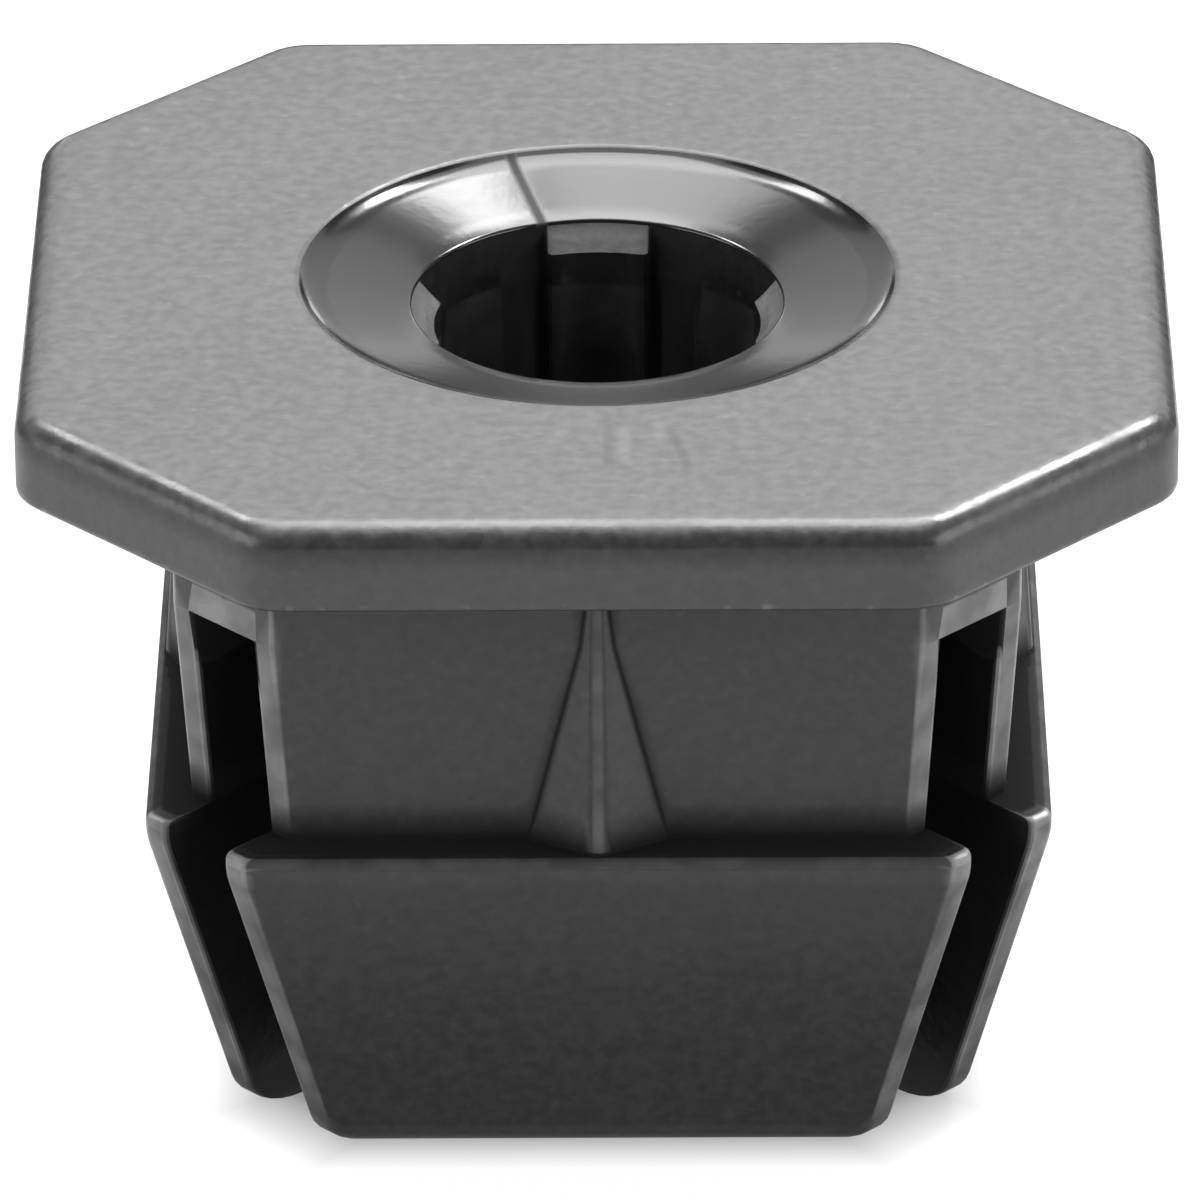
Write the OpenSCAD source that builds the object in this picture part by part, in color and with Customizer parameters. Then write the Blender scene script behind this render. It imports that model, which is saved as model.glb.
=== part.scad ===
// Retainer nut: a moulded screw grommet for a square panel hole.
// It stands on its leg tips, with the head up and the screw axis on Z.

/* [Head] */
// Width of the head across its flats
head_w = 12.7; // [11.6:0.1:18]
// Length taken off each side of the square at a cut corner
head_cut = 2.7; // [1.8:0.05:2.8]
// Thickness of the head
head_t = 1; // [0.8:0.05:2.5]
// How far the upright edges beside each cut corner are turned down
head_turn = 0.06; // [0.02:0.01:0.15]
// Radius of the head's top edge
head_edge_r = 0.3; // [0.1:0.05:0.6]

/* [Screw hole] */
// Diameter of the shallow dish at the head's top
dish_d = 6.7; // [5.2:0.1:8.5]
// Width of the steep bevel round the dish
dish_bevel = 0.12; // [0.05:0.01:0.15]
// Depth of that bevel
dish_rim = 0.1; // [0.04:0.01:0.16]
// Depth of the dish down to the bore
dish_depth = 0.34; // [0.2:0.02:0.6]
// Diameter of the bore between the ribs
bore_d = 4.15; // [3.7:0.05:4.8]
// Diameter of the circle that the rib tips grip
grip_d = 3.65; // [3:0.05:3.65]
// Width of each grip rib
rib_w = 1.15; // [0.6:0.05:1.4]

/* [Shank] */
// Width of the collar across its flats
collar_w = 9.3; // [8.8:0.1:9.5]
// Height of the unslotted collar below the head
collar_h = 1.3; // [0.6:0.05:2]
// Chamfer between the collar and the head's underside
neck_chamfer = 0.2; // [0.1:0.05:0.35]
// How far each leg's face leans in between the collar and its ledge
leg_draft = 0.15; // [0:0.05:0.3]
// Length taken off each side of the square section at the shank's cut corners
shank_cut = 1.1; // [0.8:0.05:1.6]
// Width of the diagonal slots between the legs
slot_w = 0.95; // [0.5:0.05:1.1]

/* [Barbs] */
// Distance from the head's underside to the barb ledges
grip_l = 3.75; // [2.5:0.05:6]
// Width across the barbs at their lips
barb_w = 10; // [9.6:0.1:11]
// Height of the barbs, from the leg tips to the ledges
barb_h = 4.2; // [2.5:0.1:6]
// Height of the upright lip below each ledge
lip_h = 0.25; // [0.1:0.05:0.6]
// Width across the leg tips
tip_w = 8.1; // [7:0.1:8.6]
// Radius of the outer edge of each leg tip
tip_r = 0.55; // [0.2:0.05:0.9]
// Width of each keel where it meets its ledge
keel_w = 1.8; // [0.8:0.1:3]

/* [Hidden] */
$fn = 96;
leg_count = 4;
overlap = 0.01;
total_h = barb_h + grip_l + head_t;
seat_z = total_h - head_t;
slot_top = seat_z - collar_h;
dish_z = total_h - dish_depth;
rib_lead = (bore_d - grip_d) / 2;
// Keel: a pyramid whose ridge runs out to the barb's lip
keel_out = (barb_w - collar_w) / 2;
keel_slope = keel_w / 2 / (keel_out + leg_draft);
// Depth of the keel's root inside its leg, and the share of its section left at the top
keel_root = leg_draft + 0.4;
keel_point = 0.02;

// Half of an eight-sided section, across its flats where cut is 0, or else across its cut corners.
function reach(half, cut) = cut > 0 ? (2 * half - cut) / sqrt(2) : half;

// Side view, given as its right half, drawn out across the whole width and turned about the screw axis.
module slab(turn) {
    rotate([90, 0, turn])
        linear_extrude(2 * head_w, center = true) {
            children();
            mirror([1, 0]) children();
        }
}

// Right half of the head's side view: a plate with its outer top edge rounded.
module head_half(cut) {
    edge_x = reach(head_w / 2, cut);
    square([edge_x, head_t - head_edge_r]);
    square([edge_x - head_edge_r, head_t]);
    translate([edge_x - head_edge_r, head_t - head_edge_r])
        circle(r = head_edge_r);
}

// Head: a square plate with cut corners, whose upright edges are turned down a little.
module head() {
    corner_r = norm([head_w / 2, head_w / 2 - head_cut]);
    intersection() {
        slab(0) head_half(0);
        slab(90) head_half(0);
        slab(45) head_half(head_cut);
        slab(135) head_half(head_cut);
        translate([0, 0, -head_t]) cylinder(h = 3 * head_t, r = corner_r - head_turn);
    }
}

// Right half of the shank's side view, from the tips up to the head's underside.
module shank_half(cut) {
    tip_x = reach(tip_w / 2, cut);
    lip_x = reach(barb_w / 2, cut);
    leg_x = reach(collar_w / 2 - leg_draft, cut);
    collar_x = reach(collar_w / 2, cut);
    neck_x = reach(collar_w / 2 + neck_chamfer, cut);
    lip_z = barb_h - lip_h;
    taper = atan((lip_x - tip_x) / lip_z);
    round_x = tip_x - tip_r * tan(45 - taper / 2);
    difference() {
        polygon([[0, 0], [tip_x, 0], [lip_x, lip_z], [lip_x, barb_h], [leg_x, barb_h],
                 [collar_x, slot_top], [collar_x, seat_z - neck_chamfer],
                 [neck_x, seat_z], [0, seat_z]]);
        difference() {
            translate([round_x, -overlap]) square([tip_r, tip_r * (1 - sin(taper)) + overlap]);
            translate([round_x, tip_r]) circle(r = tip_r);
        }
    }
}

// Shank before it is slotted: an eight-sided form that keeps its side view on every side.
module shank() {
    intersection() {
        slab(0) shank_half(0);
        slab(90) shank_half(0);
        slab(45) shank_half(shank_cut);
        slab(135) shank_half(shank_cut);
    }
}

// Two slots that cross on the screw axis and part the legs at their corners.
module slots() {
    for (turn = [45, 135])
        rotate(turn)
            translate([-barb_w, -slot_w / 2, -overlap])
                cube([2 * barb_w, slot_w, slot_top + overlap]);
}

// Keel of the front leg: it grows from the collar's top to the full depth of the ledge.
module keel() {
    half_root = keel_slope * (keel_out + keel_root);
    translate([0, -collar_w / 2, barb_h])
        linear_extrude(grip_l, scale = keel_point)
            polygon([[0, -keel_out], [half_root, keel_root], [-half_root, keel_root]]);
}

// Screw hole: a bore with four ribs, under a lead-in cone and a shallow dish with a bevelled rim.
module screw_hole() {
    translate([0, 0, -overlap])
        linear_extrude(total_h) {
            circle(d = grip_d);
            difference() {
                circle(d = bore_d);
                for (turn = [0, 90])
                    rotate(turn) square([2 * bore_d, rib_w], center = true);
            }
        }
    rotate_extrude()
        polygon([[0, dish_z - rib_lead], [grip_d / 2, dish_z - rib_lead], [bore_d / 2, dish_z],
                 [dish_d / 2 - dish_bevel, total_h - dish_rim],
                 [dish_d / 2 + dish_bevel, total_h + dish_rim], [0, total_h + dish_rim]]);
}

module retainer_nut() {
    color("#424242")
        difference() {
            union() {
                translate([0, 0, seat_z]) head();
                difference() {
                    shank();
                    slots();
                }
                for (leg = [0 : leg_count - 1])
                    rotate(360 / leg_count * leg) keel();
            }
            screw_hole();
        }
}

retainer_nut();
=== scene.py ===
import bpy
import bmesh
import math
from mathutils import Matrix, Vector


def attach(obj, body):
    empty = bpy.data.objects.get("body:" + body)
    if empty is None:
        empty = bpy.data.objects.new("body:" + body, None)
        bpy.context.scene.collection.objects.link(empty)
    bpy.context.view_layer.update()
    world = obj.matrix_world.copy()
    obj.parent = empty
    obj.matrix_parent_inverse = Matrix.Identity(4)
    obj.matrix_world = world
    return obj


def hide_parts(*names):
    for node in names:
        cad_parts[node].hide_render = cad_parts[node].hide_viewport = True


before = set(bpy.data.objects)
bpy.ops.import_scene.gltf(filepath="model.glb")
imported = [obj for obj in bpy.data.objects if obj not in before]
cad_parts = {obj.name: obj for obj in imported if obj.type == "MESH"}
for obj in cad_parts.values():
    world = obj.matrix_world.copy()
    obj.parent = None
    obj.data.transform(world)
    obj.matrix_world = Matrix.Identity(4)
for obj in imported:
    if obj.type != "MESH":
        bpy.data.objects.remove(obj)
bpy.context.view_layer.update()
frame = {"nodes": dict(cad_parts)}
scene = bpy.context.scene
mm = 0.001
root2 = math.sqrt(2)
print("frame loaded:", ", ".join(frame["nodes"]))

# Retainer nut, in millimetres, with the sizes of the part's source
nut = {
    "legs": 4,
    "height": 8.95, "seat": 7.95, "slotTop": 6.65, "ledge": 4.2,
    "headWidth": 12.7, "headCut": 2.7, "headCornerR": 0.8, "headTopR": 0.3, "headLowR": 0.08,
    "wallGap": 0.06, "topGap": 0.15,    # from a rounded edge to the row that supports it
    "dish": 6.7, "dishBevel": 0.12, "dishRim": 0.1, "dishRimR": 0.04, "dishSoft": 0.22,
    "dishDepth": 0.34, "boreEdge": 0.04,
    "bore": 4.15, "grip": 3.65, "ribWidth": 1.15, "ribEdgeR": 0.12,
    "collar": 9.3, "neckR": 0.2, "legDraft": 0.15,
    "shankCut": 1.1, "shankEdgeR": 0.12, "slot": 0.95, "slotEdgeR": 0.07,
    "barb": 10.0, "lip": 0.25, "lipEdgeR": 0.07, "lipSoft": 0.12, "tip": 8.1, "tipR": 0.55,
    "keelWidth": 1.8, "keelSoft": 0.16, "keelPoint": 0.05,
    "sharpFrom": 32,    # degrees between faces, past which an edge is left hard
}

# Steps along half of each outline. The three outlines of the sheet have the same total
keelSteps, creaseSteps, edgeSteps, flatSteps = 2, 2, 3, 1
flankShares, faceShares = (0.12, 0.5, 0.88), (0.05, 0.2, 0.5, 0.8, 0.95)     # close beside the edges
slotEdgeSteps, roofSteps = 3, 7
flankSteps, faceSteps = len(flankShares) + 1, len(faceShares) + 1
toFlatEnd = keelSteps + flankSteps + creaseSteps + faceSteps + edgeSteps + flatSteps
toWall = toFlatEnd + slotEdgeSteps
halfSteps = toFlatEnd + roofSteps
ribSteps = {"tip": 6, "edge": 3, "side": 1, "root": 2}
boreSteps = toWall - sum(ribSteps.values())
ribTopSteps = ribSteps["tip"] + ribSteps["edge"]
neckSteps = 5
collarRows = 3 + neckSteps          # rows of the sheet below the head
dishRows, boreRows = 16, 3          # last rows of the sheet, from the dish's rim and from the bore's mouth
rimStrips = 6                       # the dish's strips just under its rim
legHeights = [nut["slotTop"], 5.9, 5.1, nut["ledge"] + 0.45, nut["ledge"] + 0.05, nut["ledge"]]
ledgeFrom = len(legHeights) - 1     # the leg's ring that the ledge starts from
slotOff = nut["slot"] / root2       # what the slot takes along X from a point on its wall


def softCorner(a, corner, b, steps):
    # Rounded turn from a to b, pulled towards the corner
    return [a * (1 - t) ** 2 + corner * 2 * t * (1 - t) + b * t * t
            for t in (i / steps for i in range(steps + 1))]


def evenly(steps):
    return [s / steps for s in range(1, steps)]


def softLine(corners, shares):
    # Line through corners of (x, y, radius, steps of its turn), with points between them at these shares
    points = [Vector(c[:2]) for c in corners]
    line = [points[0]]
    for i in range(1, len(points)):
        turn = [points[i]]
        if i < len(points) - 1:
            before = (points[i] - points[i - 1]).normalized()
            after = (points[i + 1] - points[i]).normalized()
            reach = corners[i][2] * math.tan(before.angle(after) / 2)
            turn = softCorner(points[i] - before * reach, points[i], points[i] + after * reach, corners[i][3])
        start = line[-1]
        line += [start.lerp(turn[0], s) for s in shares[i - 1]]
        line += turn
    return line


def bothSides(half):
    return [Vector((-p.x, p.y)) for p in reversed(half[1:])] + half


def faceAt(z):
    # Half the shank's width between the ledge and the head
    share = min((nut["slotTop"] - z) / (nut["slotTop"] - nut["ledge"]), 1)
    return nut["collar"] / 2 - nut["legDraft"] * max(share, 0)


def keelAt(z):
    # How far the keel's ridge stands out from the leg's face, and half its width there
    share = 1 - (1 - nut["keelPoint"]) * (z - nut["ledge"]) / (nut["seat"] - nut["ledge"])
    ridge = nut["collar"] / 2 + (nut["barb"] / 2 - nut["lipEdgeR"] - nut["collar"] / 2) * share
    out = max(ridge - faceAt(z), 0.02)
    full = nut["barb"] / 2 - nut["collar"] / 2 + nut["legDraft"]
    return out, out * nut["keelWidth"] / 2 / full


def legLine(half, ridge, crease):
    # Outside of a leg, from slot wall to slot wall over the keel
    slotX = half - (nut["shankCut"] + slotOff) / 2
    footX = nut["collar"] / 2 - nut["legDraft"] - (nut["shankCut"] + slotOff) / 2
    wallX = min(footX, slotX) - nut["slotEdgeR"] / root2     # on the slot wall, in line with the leg's foot
    soft = min(nut["keelSoft"], crease)
    right = [(crease, half, soft, creaseSteps),
             (half - nut["shankCut"], half, nut["shankEdgeR"], edgeSteps),
             (slotX, slotX + slotOff, nut["slotEdgeR"], slotEdgeSteps),
             (wallX, wallX + slotOff, 0, 0)]
    left = [(-x, y, r, n) for x, y, r, n in reversed(right)]
    shares = [flankShares, faceShares, (), ()]      # the same both ways
    return softLine(left + [(0, half + ridge, soft, 2 * keelSteps)] + right, shares[::-1] + shares)


def collarLine(half, ridge, crease):
    # The same outside where no slot cuts it: on to the corner's middle
    leg = legLine(half, ridge, crease)
    right = leg[len(leg) // 2:][:toFlatEnd + 1]
    corner = Vector((half - nut["shankCut"] / 2,) * 2)
    return bothSides(right + [right[-1].lerp(corner, i / roofSteps) for i in range(1, roofSteps + 1)])


def headLine(inset):
    # Cut-corner outline of the head, drawn in by the inset
    half = nut["headWidth"] / 2 - inset
    corner = nut["headWidth"] / 2 - nut["headCut"] - inset * math.tan(math.pi / 8)
    middle = half - (half - corner) / 2
    radius, turnSteps, cutSteps = nut["headCornerR"] - inset, 8, 4
    flatHalf = halfSteps - turnSteps - cutSteps
    return softLine([(-middle, middle, 0, 0), (-corner, half, radius, turnSteps),
                     (corner, half, radius, turnSteps), (middle, middle, 0, 0)],
                    [evenly(cutSteps), evenly(2 * flatHalf), evenly(cutSteps)])


def onCircle(radius, angle):
    return Vector((radius * math.sin(angle), radius * math.cos(angle)))


def boreLine():
    # Bore with its rib in the middle, from corner to corner
    bore, grip, side, edge = nut["bore"] / 2, nut["grip"] / 2, nut["ribWidth"] / 2, nut["ribEdgeR"]
    tipAngle, rootAngle = math.asin((side - edge) / grip), math.asin(side / bore)
    wallAngle = math.pi / 4 - math.asin(nut["slot"] / 2 / bore)
    arcAngle = rootAngle + edge / bore
    tipCorner = Vector((side, math.sqrt(grip ** 2 - side ** 2)))
    root = onCircle(bore, rootAngle)
    right = [onCircle(grip, tipAngle * i / ribSteps["tip"]) for i in range(ribSteps["tip"])]
    right += softCorner(onCircle(grip, tipAngle), tipCorner, tipCorner + Vector((0, edge)), ribSteps["edge"])
    right += softCorner(root - Vector((0, edge * 0.6)), root, onCircle(bore, arcAngle), ribSteps["root"])
    right += [onCircle(bore, arcAngle + (wallAngle - arcAngle) * i / boreSteps) for i in range(1, boreSteps + 1)]
    left = halfSteps - toWall
    return bothSides(right + [onCircle(bore, wallAngle + (math.pi / 4 - wallAngle) * i / left)
                              for i in range(1, left + 1)])


def quarterRound(steps):
    # Sine and cosine pairs along a quarter turn, without its start
    return [(math.sin(a), math.cos(a)) for a in (math.pi / 2 * i / steps for i in range(1, steps + 1))]


def sheetRows():
    # Rows from the collar's foot, up round the head and down the bore: (outline, z)
    seat, top, collar = nut["seat"], nut["height"], nut["collar"] / 2
    heights = (nut["slotTop"], nut["slotTop"] + 0.4, seat - nut["neckR"])
    rows = [(collarLine(collar, *keelAt(z)), z) for z in heights]
    for s, c in quarterRound(neckSteps):
        z = seat - nut["neckR"] * (1 - s)
        out = nut["neckR"] * (1 - c)
        ridge, crease = keelAt(min(z, seat - 0.02))
        rows.append((collarLine(collar + out, max(ridge - out, 0.004), crease), z))
    low, high = nut["headLowR"], nut["headTopR"]
    rows.append((headLine(low), seat))
    rows += [(headLine(low * (1 - s)), seat + low * (1 - c)) for s, c in quarterRound(3)]
    rows += [(headLine(0), z) for z in (seat + low + nut["wallGap"], top - high - nut["wallGap"], top - high)]
    rows += [(headLine(high * (1 - c)), top - high * (1 - s)) for s, c in quarterRound(6)]
    rows.append((headLine(high + nut["topGap"]), top))
    bore = boreLine()
    angles = [math.asin(max(-1, min(1, p.x / (nut["bore"] / 2)))) for p in bore]
    rim, rimR = Vector((nut["dish"] / 2, top)), nut["dishRimR"]
    rimFoot = rim - Vector((nut["dishBevel"], nut["dishRim"]))
    mouth = Vector((nut["bore"] / 2, top - nut["dishDepth"]))
    steep, lean = (rim - rimFoot).normalized(), (rimFoot - mouth).normalized()
    section = [rim + Vector((rimR + nut["topGap"], 0))]
    section += softCorner(rim + Vector((rimR, 0)), rim, rim - steep * rimR, 3)
    section += softCorner(rim - steep * 2 * rimR, rimFoot, rimFoot - lean * nut["dishSoft"], 5)
    section += [rimFoot.lerp(mouth, t) for t in (0.5, 0.75)]
    section += softCorner(mouth + lean * nut["boreEdge"], mouth, mouth - Vector((0, nut["boreEdge"])), 4)
    rows += [([onCircle(p.x, a) for a in angles], p.y) for p in section]
    ribTop = mouth.y - nut["boreEdge"] - (nut["bore"] - nut["grip"]) / 2
    rows += [(bore, z) for z in (ribTop, nut["slotTop"])]
    return rows


def legRings():
    # Rings of a leg from the slot's top to its tip: (outside, z)
    ledge, lip, edge = nut["ledge"], nut["barb"] / 2, nut["lipEdgeR"]
    tip, radius = nut["tip"] / 2, nut["tipR"]
    rings = [(legLine(faceAt(z), *keelAt(z)), z) for z in legHeights]
    crease = keelAt(ledge)[1]
    slant = math.atan2(lip - tip, ledge - nut["lip"])
    centre = Vector((tip - radius * math.tan(math.pi / 4 - slant / 2), radius))
    side = [(lip - edge, ledge)] + [(lip - edge * (1 - s), ledge - edge * (1 - c)) for s, c in quarterRound(3)]
    turns = [slant + (math.pi / 2 - slant) * i / 7 for i in range(8)]
    turn = [(centre.x + radius * math.cos(a), centre.y - radius * math.sin(a)) for a in turns]
    # The lip turns softly into the barb's face, which has points close beside its edges
    end, corner = Vector(turn[0]), Vector((lip, ledge - nut["lip"]))
    down = (end - corner).normalized() * nut["lipSoft"]
    side += [tuple(p) for p in softCorner(corner + Vector((0, nut["lipSoft"])), corner, corner + down, 4)]
    side += [tuple(corner.lerp(end, s)) for s in (0.5, 0.97)] + turn
    return rings + [(legLine(half, 0.0, crease), z) for half, z in side]


# Shares of the full shade, in the bore, at a leg's foot and on its edges
shades = {"ribTop": 0.4, "underRim": 0.8, "ledge": 0.7, "ridge": 0.35, "lip": 0.6}


def quarterMesh():
    # The quarter of the nut that faces -Y
    bm = bmesh.new()
    inside = bm.faces.layers.float.new("inside")        # painted shade in the bore and slots, and in part on the ledges
    polished = bm.faces.layers.float.new("polished")    # the dish, smoother and darkened as painted shade
    pale = bm.faces.layers.float.new("pale")            # painted highlight on the flats beside the slots
    shaded = bm.verts.layers.float.new("shaded")        # painted shade at the foot of a leg's face, and in part on its ridge and lip

    def points(line, z):
        return [bm.verts.new((p.x, -p.y, z)) for p in line]

    def bridge(a, b, layer=None, part=slice(None), value=1):
        made = [bm.faces.new((a[i], a[i + 1], b[i + 1], b[i])) for i in range(len(a) - 1)]
        for face in made[part] if layer else ():
            face[layer] = value
        return made

    sheet = [points(line, z) for line, z in sheetRows()]
    dishFrom, boreFrom = len(sheet) - dishRows, len(sheet) - boreRows
    for i, (a, b) in enumerate(zip(sheet, sheet[1:])):
        made = bridge(a, b, inside if i >= boreFrom else polished if i >= dishFrom else None)
        if i == boreFrom:           # the rib's sloping top catches the light, so it gets less painted shade
            for face in made[halfSteps - ribTopSteps:halfSteps + ribTopSteps]:
                face[inside] = shades["ribTop"]
        # Strips just under the dish's rim get painted shade
        for face in made if dishFrom <= i < dishFrom + rimStrips else ():
            face[inside] = shades["underRim"]
    bore = boreLine()[halfSteps - toWall:halfSteps + toWall + 1]
    rings = []
    for line, z in legRings():
        outer, inner = points(line, z), points(bore, z)
        # Starts at the left slot wall's own point, so that the slot walls and the bore come last
        rings.append((outer, inner, outer[1:] + inner[::-1] + outer[:2]))
    # Painted shade on the keel's ridge, down the collar and the leg
    for row in sheet[:collarRows] + [outer for outer, _, _ in rings[:ledgeFrom + 1]]:
        ridge = len(row) // 2
        for vert in row[ridge - keelSteps:ridge + keelSteps + 1]:
            vert[shaded] = shades["ridge"]
    # Full painted shade at the foot of the leg's face, beside the keel
    for outer, _, _ in rings[ledgeFrom - 1:ledgeFrom + 1]:
        ridge = len(outer) // 2
        for vert in outer[:ridge - keelSteps] + outer[ridge + keelSteps + 1:]:
            vert[shaded] = 1
    # Painted shade on the lip's rounded edge
    for outer, _, _ in rings[ledgeFrom + 1:ledgeFrom + 5]:
        for vert in outer[2 + slotEdgeSteps + edgeSteps:-2 - slotEdgeSteps - edgeSteps]:
            vert[shaded] = shades["lip"]
    for i, (a, b) in enumerate(zip(rings, rings[1:])):
        made = bridge(a[2], b[2], inside, slice(2 * toWall, None))
        # The ledge gets painted shade
        if i == ledgeFrom:
            for face in made[:2 * toWall]:
                face[inside] = shades["ledge"]
        else:
            # Painted highlight on the flats beside the slots
            flat = slice(1, slotEdgeSteps + flatSteps + edgeSteps - 1)
            for face in made[flat] + made[:2 * toWall][::-1][flat]:
                face[pale] = 1
    outer, inner, _ = rings[-1]
    tipRow = outer[1:-1]            # the sole, without the points part way along the slot walls
    bridge(tipRow[1:-1], inner[1:-1])
    bm.faces.new((outer[0], tipRow[0], tipRow[1], inner[1], inner[0]))
    bm.faces.new((outer[-1], tipRow[-1], tipRow[-2], inner[-2], inner[-1]))
    foot, mouth, wall = sheet[0], sheet[-1], rings[0][0]
    past = toWall - toFlatEnd + 1
    for flip in (1, -1):            # roof of half a slot on either side of the leg
        roof = bm.faces.new(foot[::flip][-roofSteps - 1:] + mouth[::flip][toWall - halfSteps - 1:][::-1]
                            + wall[::flip][-past:][::-1])
        # The slot's roof gets full painted shade
        roof[inside] = 1
    bmesh.ops.remove_doubles(bm, verts=bm.verts, dist=1e-4)      # still in millimetres
    bmesh.ops.dissolve_degenerate(bm, edges=bm.edges, dist=1e-5)
    bmesh.ops.recalc_face_normals(bm, faces=bm.faces)
    topFace = max(bm.faces, key=lambda f: f.calc_center_median().z)
    if topFace.normal.z < 0:
        bmesh.ops.reverse_faces(bm, faces=bm.faces)
    bmesh.ops.scale(bm, vec=(mm, mm, mm), verts=bm.verts)
    mesh = bpy.data.meshes.new("nutQuarter")
    bm.to_mesh(mesh)
    bm.free()
    return mesh


def addNode(tree, kind, inputs=None, **settings):
    # New node with its settings and with input values or links by socket name or number
    node = tree.nodes.new(kind)
    for name, value in settings.items():
        setattr(node, name, value)
    for key, value in (inputs or {}).items():
        if isinstance(value, bpy.types.NodeSocket):
            tree.links.new(value, node.inputs[key])
        else:
            node.inputs[key].default_value = value
    return node


def turnTree():
    # Turns one quarter round the screw axis, joins the copies, marks hard edges and stores how much each edge bends,
    # for wear, painted highlight and painted shade
    tree = bpy.data.node_groups.new("turnQuarters", "GeometryNodeTree")
    face = tree.interface
    face.new_socket("Quarter", in_out="INPUT", socket_type="NodeSocketGeometry")
    for name, kind in (("Copies", "NodeSocketInt"), ("Weld", "NodeSocketFloat"),
                       ("Sharp From", "NodeSocketFloat"), ("Finish", "NodeSocketMaterial")):
        face.new_socket(name, in_out="INPUT", socket_type=kind)
    face.new_socket("Nut", in_out="OUTPUT", socket_type="NodeSocketGeometry")
    given = addNode(tree, "NodeGroupInput").outputs
    points = addNode(tree, "GeometryNodePoints", {"Count": given["Copies"]})
    index = addNode(tree, "GeometryNodeInputIndex")
    step = addNode(tree, "ShaderNodeMath", {0: math.tau, 1: given["Copies"]}, operation="DIVIDE")
    angle = addNode(tree, "ShaderNodeMath", {0: index.outputs[0], 1: step.outputs[0]}, operation="MULTIPLY")
    turn = addNode(tree, "ShaderNodeCombineXYZ", {"Z": angle.outputs[0]})
    rotation = addNode(tree, "FunctionNodeEulerToRotation", {0: turn.outputs[0]})
    copies = addNode(tree, "GeometryNodeInstanceOnPoints",
                     {"Points": points.outputs[0], "Instance": given["Quarter"], "Rotation": rotation.outputs[0]})
    whole = addNode(tree, "GeometryNodeRealizeInstances", {"Geometry": copies.outputs[0]})
    weld = addNode(tree, "GeometryNodeMergeByDistance", {"Geometry": whole.outputs[0], "Distance": given["Weld"]})
    smooth = addNode(tree, "GeometryNodeSetShadeSmooth",
                     {"Geometry": weld.outputs[0], "Shade Smooth": True}, domain="FACE")
    bend = addNode(tree, "GeometryNodeInputMeshEdgeAngle")
    hard = addNode(tree, "FunctionNodeCompare", {0: bend.outputs[0], 1: given["Sharp From"]},
                   data_type="FLOAT", operation="GREATER_THAN")
    edges = addNode(tree, "GeometryNodeSetShadeSmooth",
                    {"Geometry": smooth.outputs[0], "Selection": hard.outputs[0], "Shade Smooth": False},
                    domain="EDGE")
    storeBend = addNode(tree, "GeometryNodeStoreNamedAttribute",
                   {"Geometry": edges.outputs[0], "Name": "edgeBend", "Value": bend.outputs[1]},
                   data_type="FLOAT", domain="POINT")
    finish = addNode(tree, "GeometryNodeSetMaterial",
                     {"Geometry": storeBend.outputs[0], "Material": given["Finish"]})
    addNode(tree, "NodeGroupOutput", {0: finish.outputs[0]})
    return tree


# Moulded grey finish: dark satin plastic, faintly mottled and speckled, paler on worn edges, with painted highlight on
# edges, flats and the head's wall, and painted shade in creases, hollows, the dish and at the legs' feet
mouldedGrey = {
    # The pale tone serves both wear and painted highlight; the deep tone serves both painted shade and dark scuffs; the
    # dish tone is painted shade in the dish
    "dark": (0.041, 0.041, 0.042), "light": (0.068, 0.068, 0.069), "paleWearAndHighlight": (0.52, 0.52, 0.52),
    "deep": (0.004, 0.004, 0.004), "dish": (0.014, 0.014, 0.014),
    "mottleScale": 520, "grainScale": 6500, "speckScale": 2300, "fleckScale": 4600,
    "grainShare": 0.85, "fleck": 0.035, "rubAndHighlight": 0.85, "paintedFlatHighlight": 0.5, "paintedWallLight": 0.13,
    "insideShade": 0.9, "creaseShade": 0.95,
    "rubAndHighlightFrom": (0.06, 0.15), "shineFrom": (0.04, 0.14), "creaseFrom": (-0.02, -0.12),     # bend at an edge, in radians
    "roughness": (0.42, 0.47), "edgeRoughness": 0.25, "creaseRoughness": 0.95,
    "dishRoughness": 0.15, "weldRoughness": 0.75,
    "bumpDepth": 0.00002, "bump": 0.35, "dishBump": 0.05,
    "weldTurn": 17.5, "weldReach": 5, "weldHalf": 0.09,
    # start, end, half width, share and tone
    "scuffs": [((0.3, -3.8), (0.33, -4.8), 0.1, 0.05, "paleWearAndHighlight"), ((0.12, -3.7), (0.14, -4.9), 0.08, 0.35, "deep"),
               ((0.8, -3.9), (1.02, -5), 0.08, 0.4, "deep"), ((0.66, -3.7), (0.7, -4.4), 0.08, 0.04, "paleWearAndHighlight")],
    "markFade": 0.2,        # how far a scuff or weld line fades at its ends
}


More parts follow.
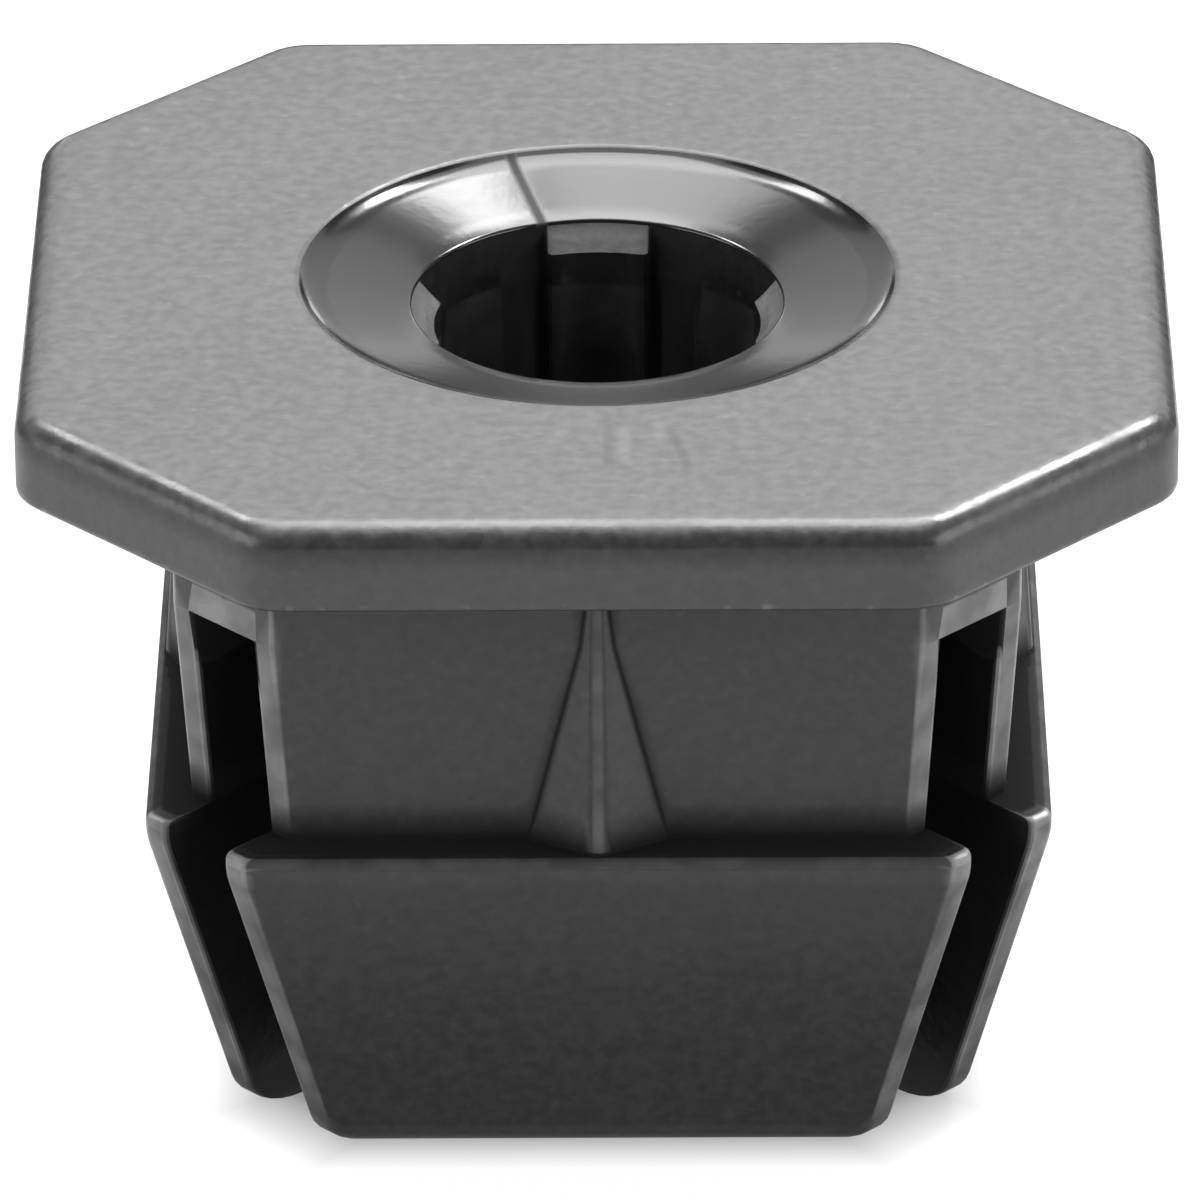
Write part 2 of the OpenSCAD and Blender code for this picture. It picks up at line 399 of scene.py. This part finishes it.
def greyMaterial():
    look = mouldedGrey
    mat = bpy.data.materials.new("mouldedGrey")
    mat.use_nodes = True
    tree = mat.node_tree
    shader = tree.nodes["Principled BSDF"]
    place = addNode(tree, "ShaderNodeTexCoord").outputs["Object"]
    height = addNode(tree, "ShaderNodeSeparateXYZ", {0: place}).outputs["Z"]

    def noise(name, detail):
        return addNode(tree, "ShaderNodeTexNoise", {"Vector": place, "Scale": look[name], "Detail": detail}).outputs[0]

    def attribute(name):
        return addNode(tree, "ShaderNodeAttribute", attribute_name=name).outputs["Fac"]

    def ramp(value, low, high, start=0.0, end=1.0):
        return addNode(tree, "ShaderNodeMapRange", {0: value, 1: low, 2: high, 3: start, 4: end}).outputs[0]

    def rise(low, high):
        # From 0 to 1 between two heights, in millimetres
        return ramp(height, low * mm, high * mm)

    def maths(operation, a, b=0.0):
        return addNode(tree, "ShaderNodeMath", {0: a, 1: b}, operation=operation).outputs[0]

    def times(first, *others):
        for other in others:
            first = maths("MULTIPLY", first, other)
        return first

    def mix(share, a, b):
        return addNode(tree, "ShaderNodeMix", {0: share, 2: a, 3: b}, data_type="FLOAT").outputs[0]

    def tint(colour, share, name):
        # Colour moved by a share towards a named one
        return addNode(tree, "ShaderNodeMix", {0: share, 6: colour, 7: (*look[name], 1)}, data_type="RGBA").outputs[2]

    def measure(way):
        # How far a point lies along a level direction
        return addNode(tree, "ShaderNodeVectorMath", {0: place, 1: (*way, 0)}, operation="DOT_PRODUCT").outputs["Value"]

    def mark(start, end, half):
        # Thin straight line seen from above, from start to end in millimetres
        start, line = Vector(start), Vector(end) - Vector(start)
        way = line.normalized()
        across = Vector((-way.y, way.x))
        aside = maths("ABSOLUTE", maths("SUBTRACT", measure(across), start.dot(across) * mm))
        along, first, fade = measure(way), start.dot(way), look["markFade"]
        last = first + line.length
        ends = times(ramp(along, first * mm, (first + fade) * mm), ramp(along, last * mm, (last - fade) * mm))
        return times(ramp(aside, half * mm, 0.3 * half * mm), ends)

    mottle, grain = noise("mottleScale", 4.0), noise("grainScale", 2.0)
    speck, fine = noise("speckScale", 1.0), noise("fleckScale", 1.0)
    both = mix(look["grainShare"], mottle, grain)
    edge, polished, shade = attribute("edgeBend"), attribute("polished"), attribute("shaded")
    seat, top = nut["seat"], nut["height"]
    wallTop = top - nut["headTopR"]
    colour = tint((*look["dark"], 1), ramp(both, 0.36, 0.64), "light")
    colour = tint(colour, ramp(fine, 0.68, 0.74, 0.0, look["fleck"]), "paleWearAndHighlight")
    # The head's upright wall is painted a little paler, as painted light
    wall = times(rise(seat - 0.02, seat), rise(wallTop, wallTop - 0.2))
    colour = tint(colour, times(wall, look["paintedWallLight"]), "paleWearAndHighlight")
    # Scuffs on the head's top, in front of the dish
    onTop = rise(top - 0.05, top - 0.01)
    for start, end, half, share, name in look["scuffs"]:
        colour = tint(colour, times(mark(start, end, half), onTop, share), name)
    # The dish's colour is darkened as painted shade, so its near wall and sides read dark
    colour = tint(colour, polished, "dish")
    # Edges are rubbed pale, partly as wear and partly as painted highlight, below the head and as painted glints in
    # specks on its lower edge, but not on its top edge, which shines instead; the flats beside the slots get painted
    # highlight
    patchy = mix(rise(seat - 0.05, seat), ramp(speck, 0.35, 0.65, 0.45, 1.0), ramp(fine, 0.6, 0.75, 0.0, 0.6))
    flats = times(attribute("pale"), look["paintedFlatHighlight"])
    rubAndHighlight = maths("MAXIMUM", ramp(edge, *look["rubAndHighlightFrom"], 0.0, look["rubAndHighlight"]), flats)
    rubAndHighlight = times(rubAndHighlight, patchy, rise(seat + 0.2, seat + 0.1), rise(0.2, 0.8), ramp(shade, 0.0, 1.0, 1.0, 0.0))
    colour = tint(colour, rubAndHighlight, "paleWearAndHighlight")
    # Creases and the feet of the legs' faces get painted shade, and are dull
    crease = times(ramp(edge, *look["creaseFrom"]), rise(seat - 0.05, seat - 0.35))
    crease = maths("MAXIMUM", crease, shade)
    colour = tint(colour, times(crease, look["creaseShade"]), "deep")
    # Painted shade in the bore and slots, on the ledges and rib tops, and under the dish's rim
    colour = tint(colour, times(attribute("inside"), look["insideShade"]), "deep")
    tree.links.new(colour, shader.inputs["Base Color"])
    # Satin, with shiny edges, dull creases, and a polished dish with a weld line
    rough = ramp(both, 0.35, 0.65, *look["roughness"])
    shine = times(ramp(edge, *look["shineFrom"]), ramp(speck, 0.35, 0.6, 0.4, 1.0))
    weldEnd = onCircle(look["weldReach"], -math.radians(look["weldTurn"]))
    weld = times(mark((0, 0), weldEnd, look["weldHalf"]), polished)
    for share, name in ((shine, "edgeRoughness"), (crease, "creaseRoughness"),
                        (polished, "dishRoughness"), (weld, "weldRoughness")):
        rough = mix(share, rough, look[name])
    tree.links.new(rough, shader.inputs["Roughness"])
    strength = ramp(polished, 0.0, 1.0, look["bump"], look["dishBump"])
    bump = addNode(tree, "ShaderNodeBump", {"Strength": strength, "Distance": look["bumpDepth"], "Height": both})
    tree.links.new(bump.outputs[0], shader.inputs["Normal"])
    return mat


def plainMesh(obj, name):
    # The evaluated object as a new object with a plain mesh; the old one goes
    graph = bpy.context.evaluated_depsgraph_get()
    mesh = bpy.data.meshes.new_from_object(obj.evaluated_get(graph))
    mesh.name = name
    made = bpy.data.objects.new(name, mesh)
    scene.collection.objects.link(made)
    bpy.data.objects.remove(obj, do_unlink=True)
    return made


def makeNut():
    quarter = bpy.data.objects.new("nutQuarter", quarterMesh())
    scene.collection.objects.link(quarter)
    tree = turnTree()
    turned = quarter.modifiers.new("turnQuarters", "NODES")
    turned.node_group = tree
    values = {"Copies": nut["legs"], "Weld": 0.001 * mm, "Sharp From": math.radians(nut["sharpFrom"]),
              "Finish": greyMaterial()}
    for item in tree.interface.items_tree:
        if item.name in values:
            turned[item.identifier] = values[item.name]
    normals = quarter.modifiers.new("flatFaceNormals", "WEIGHTED_NORMAL")
    normals.keep_sharp = True
    return plainMesh(quarter, "retainerNut")


piece = makeNut()
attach(piece, "root")
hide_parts("retainer_nut")
print("nut made:", len(piece.data.polygons), "faces")

# Studio: a pale floor, soft lights above and behind, and a dim surround
studio = {
    "floorHalf": 900, "floorBack": 25, "floorZ": -0.02, "floorGrey": (0.12, 0.12, 0.12), "floorGlow": 0.95,
    "contact": (3.55, 4.4), "contactGlow": 0.3,
    "darkHalf": 6.9, "darkZ": -0.01, "darkGlow": 0.28, "surround": 0.06,
}
softboxes = [      # name, degrees round from straight behind and up, millimetres off, size, brightness
    ("overhead", 0, 80, 260, (240, 300), 2.5),
    ("overBand", 0, 70, 260, (140, 165), 7.9),
    ("dishLeft", 9.6, 46.7, 260, (23.5, 39), 18),
    ("dishMiddle", -5.3, 47.2, 260, (54, 43), 6),
    ("rightRim", 39, 49.5, 260, (96, 34), 55),
    ("leftRim", -39, 49.5, 260, (96, 34), 20),
    ("backCard", 0, 25, 330, (700, 130), 1.05),
    ("backStrip", 0, 29, 320, (44, 160), 1.1),
    ("backLow", 0, 11.8, 330, (420, 26), 1.4),
    ("lowRight", 12.5, 9.5, 330, (28, 30), 3.5),
    ("lowLeft", -12.5, 9.5, 330, (28, 30), 3.5),
    ("leftCard", -112, 15, 240, (180, 130), 3.6),
    ("rightCard", 112, 15, 240, (180, 130), 4),
]


def floorMaterial(name, grey, glow):
    mat = bpy.data.materials.new(name)
    mat.use_nodes = True
    shader = mat.node_tree.nodes["Principled BSDF"]
    shader.inputs["Base Color"].default_value = (*grey, 1)
    shader.inputs["Roughness"].default_value = 0.9
    shader.inputs["Specular IOR Level"].default_value = 0.1
    shader.inputs["Emission Color"].default_value = (1, 1, 1, 1)
    shader.inputs["Emission Strength"].default_value = glow
    return mat


def addSheet(name, low, high, z, finish):
    # Level rectangle between two corners, in millimetres
    corners = [(low[0], low[1], z), (high[0], low[1], z), (high[0], high[1], z), (low[0], high[1], z)]
    mesh = bpy.data.meshes.new(name)
    mesh.from_pydata([Vector(c) * mm for c in corners], [], [(0, 1, 2, 3)])
    mesh.materials.append(finish)
    sheet = bpy.data.objects.new(name, mesh)
    scene.collection.objects.link(sheet)
    sheet.visible_diffuse = False       # no grey bounce on the nut's sides
    return sheet


def contactShade(mat):
    # The floor glows less close round the leg tips, as a contact shadow
    tree = mat.node_tree
    place = addNode(tree, "ShaderNodeTexCoord").outputs["Object"]
    off = addNode(tree, "ShaderNodeVectorMath", {0: place}, operation="ABSOLUTE").outputs[0]
    slope = nut["tip"] / 2 / (nut["tip"] - nut["shankCut"])      # along the tips' cut corners
    cut = addNode(tree, "ShaderNodeVectorMath", {0: off, 1: (slope, slope, 0)}, operation="DOT_PRODUCT")
    sides = addNode(tree, "ShaderNodeSeparateXYZ", {0: off}).outputs
    away = addNode(tree, "ShaderNodeMath", {0: sides["X"], 1: sides["Y"]}, operation="MAXIMUM")
    away = addNode(tree, "ShaderNodeMath", {0: away.outputs[0], 1: cut.outputs["Value"]}, operation="MAXIMUM")
    near, far = studio["contact"]
    glow = addNode(tree, "ShaderNodeMapRange", {0: away.outputs[0], 1: near * mm, 2: far * mm,
                                                3: studio["contactGlow"], 4: studio["floorGlow"]})
    tree.links.new(glow.outputs[0], tree.nodes["Principled BSDF"].inputs["Emission Strength"])


def makeFloor():
    half, back, dark, z = studio["floorHalf"], studio["floorBack"], studio["darkHalf"], studio["floorZ"]
    pale = floorMaterial("paleFloor", studio["floorGrey"], studio["floorGlow"])
    contactShade(pale)
    addSheet("floor", (-half, -half), (half, back), z, pale)
    far = addSheet("farFloor", (-half, back), (half, half), z, pale)
    far.visible_glossy = False      # keeps the dish's near wall dark
    # Only reflections see the dark sheet, which stands in for shaded floor and paints shade into the barbs towards
    # their tips
    deep = floorMaterial("darkSheet", (0, 0, 0), studio["darkGlow"])
    sheet = addSheet("darkSheet", (-dark, -dark), (dark, dark), studio["darkZ"], deep)
    sheet.visible_camera = sheet.visible_shadow = False


def lookAt(obj, place, target):
    obj.location = place
    obj.rotation_euler = (target - place).to_track_quat("-Z", "Y").to_euler()


def makeLights():
    aim = Vector((0, 0, 6)) * mm
    for name, turn, up, off, size, brightness in softboxes:
        turn, up = math.radians(turn), math.radians(up)
        way = Vector((math.sin(turn) * math.cos(up), math.cos(turn) * math.cos(up), math.sin(up)))
        light = bpy.data.lights.new(name, "AREA")
        light.shape = "RECTANGLE"
        light.size, light.size_y = size[0] * mm, size[1] * mm
        light.energy = brightness * math.pi * light.size * light.size_y
        lamp = bpy.data.objects.new(name, light)
        scene.collection.objects.link(lamp)
        lookAt(lamp, aim + way * off * mm, aim)
    world = bpy.data.worlds.new("surround")
    scene.world = world
    world.use_nodes = True
    background = world.node_tree.nodes["Background"].inputs
    background["Color"].default_value = (1, 1, 1, 1)
    background["Strength"].default_value = studio["surround"]


makeFloor()
makeLights()
scene.view_settings.view_transform = "Standard"
print("studio made")

# Camera as fitted to the photograph: elevation and distance from the middle of the head's top
camera = {
    "elevation": 25.68, "azimuth": 0.3, "roll": 0.35,
    "distance": 133.1, "lens": 358.3, "target": (0.01, 0, 4.84),
}


def makeCamera():
    up, turn = math.radians(camera["elevation"]), math.radians(camera["azimuth"])
    back = Vector((math.sin(turn) * math.cos(up), -math.cos(turn) * math.cos(up), math.sin(up)))
    data = bpy.data.cameras.new("photoCamera")
    data.sensor_width = 36
    data.lens = camera["lens"]
    data.clip_start = mm
    obj = bpy.data.objects.new("photoCamera", data)
    scene.collection.objects.link(obj)
    headTop = Vector((0, 0, nut["height"]))
    lookAt(obj, (headTop + back * camera["distance"]) * mm, Vector(camera["target"]) * mm)
    obj.rotation_euler.rotate_axis("Z", -math.radians(camera["roll"]))
    scene.camera = obj


makeCamera()
print("camera set")
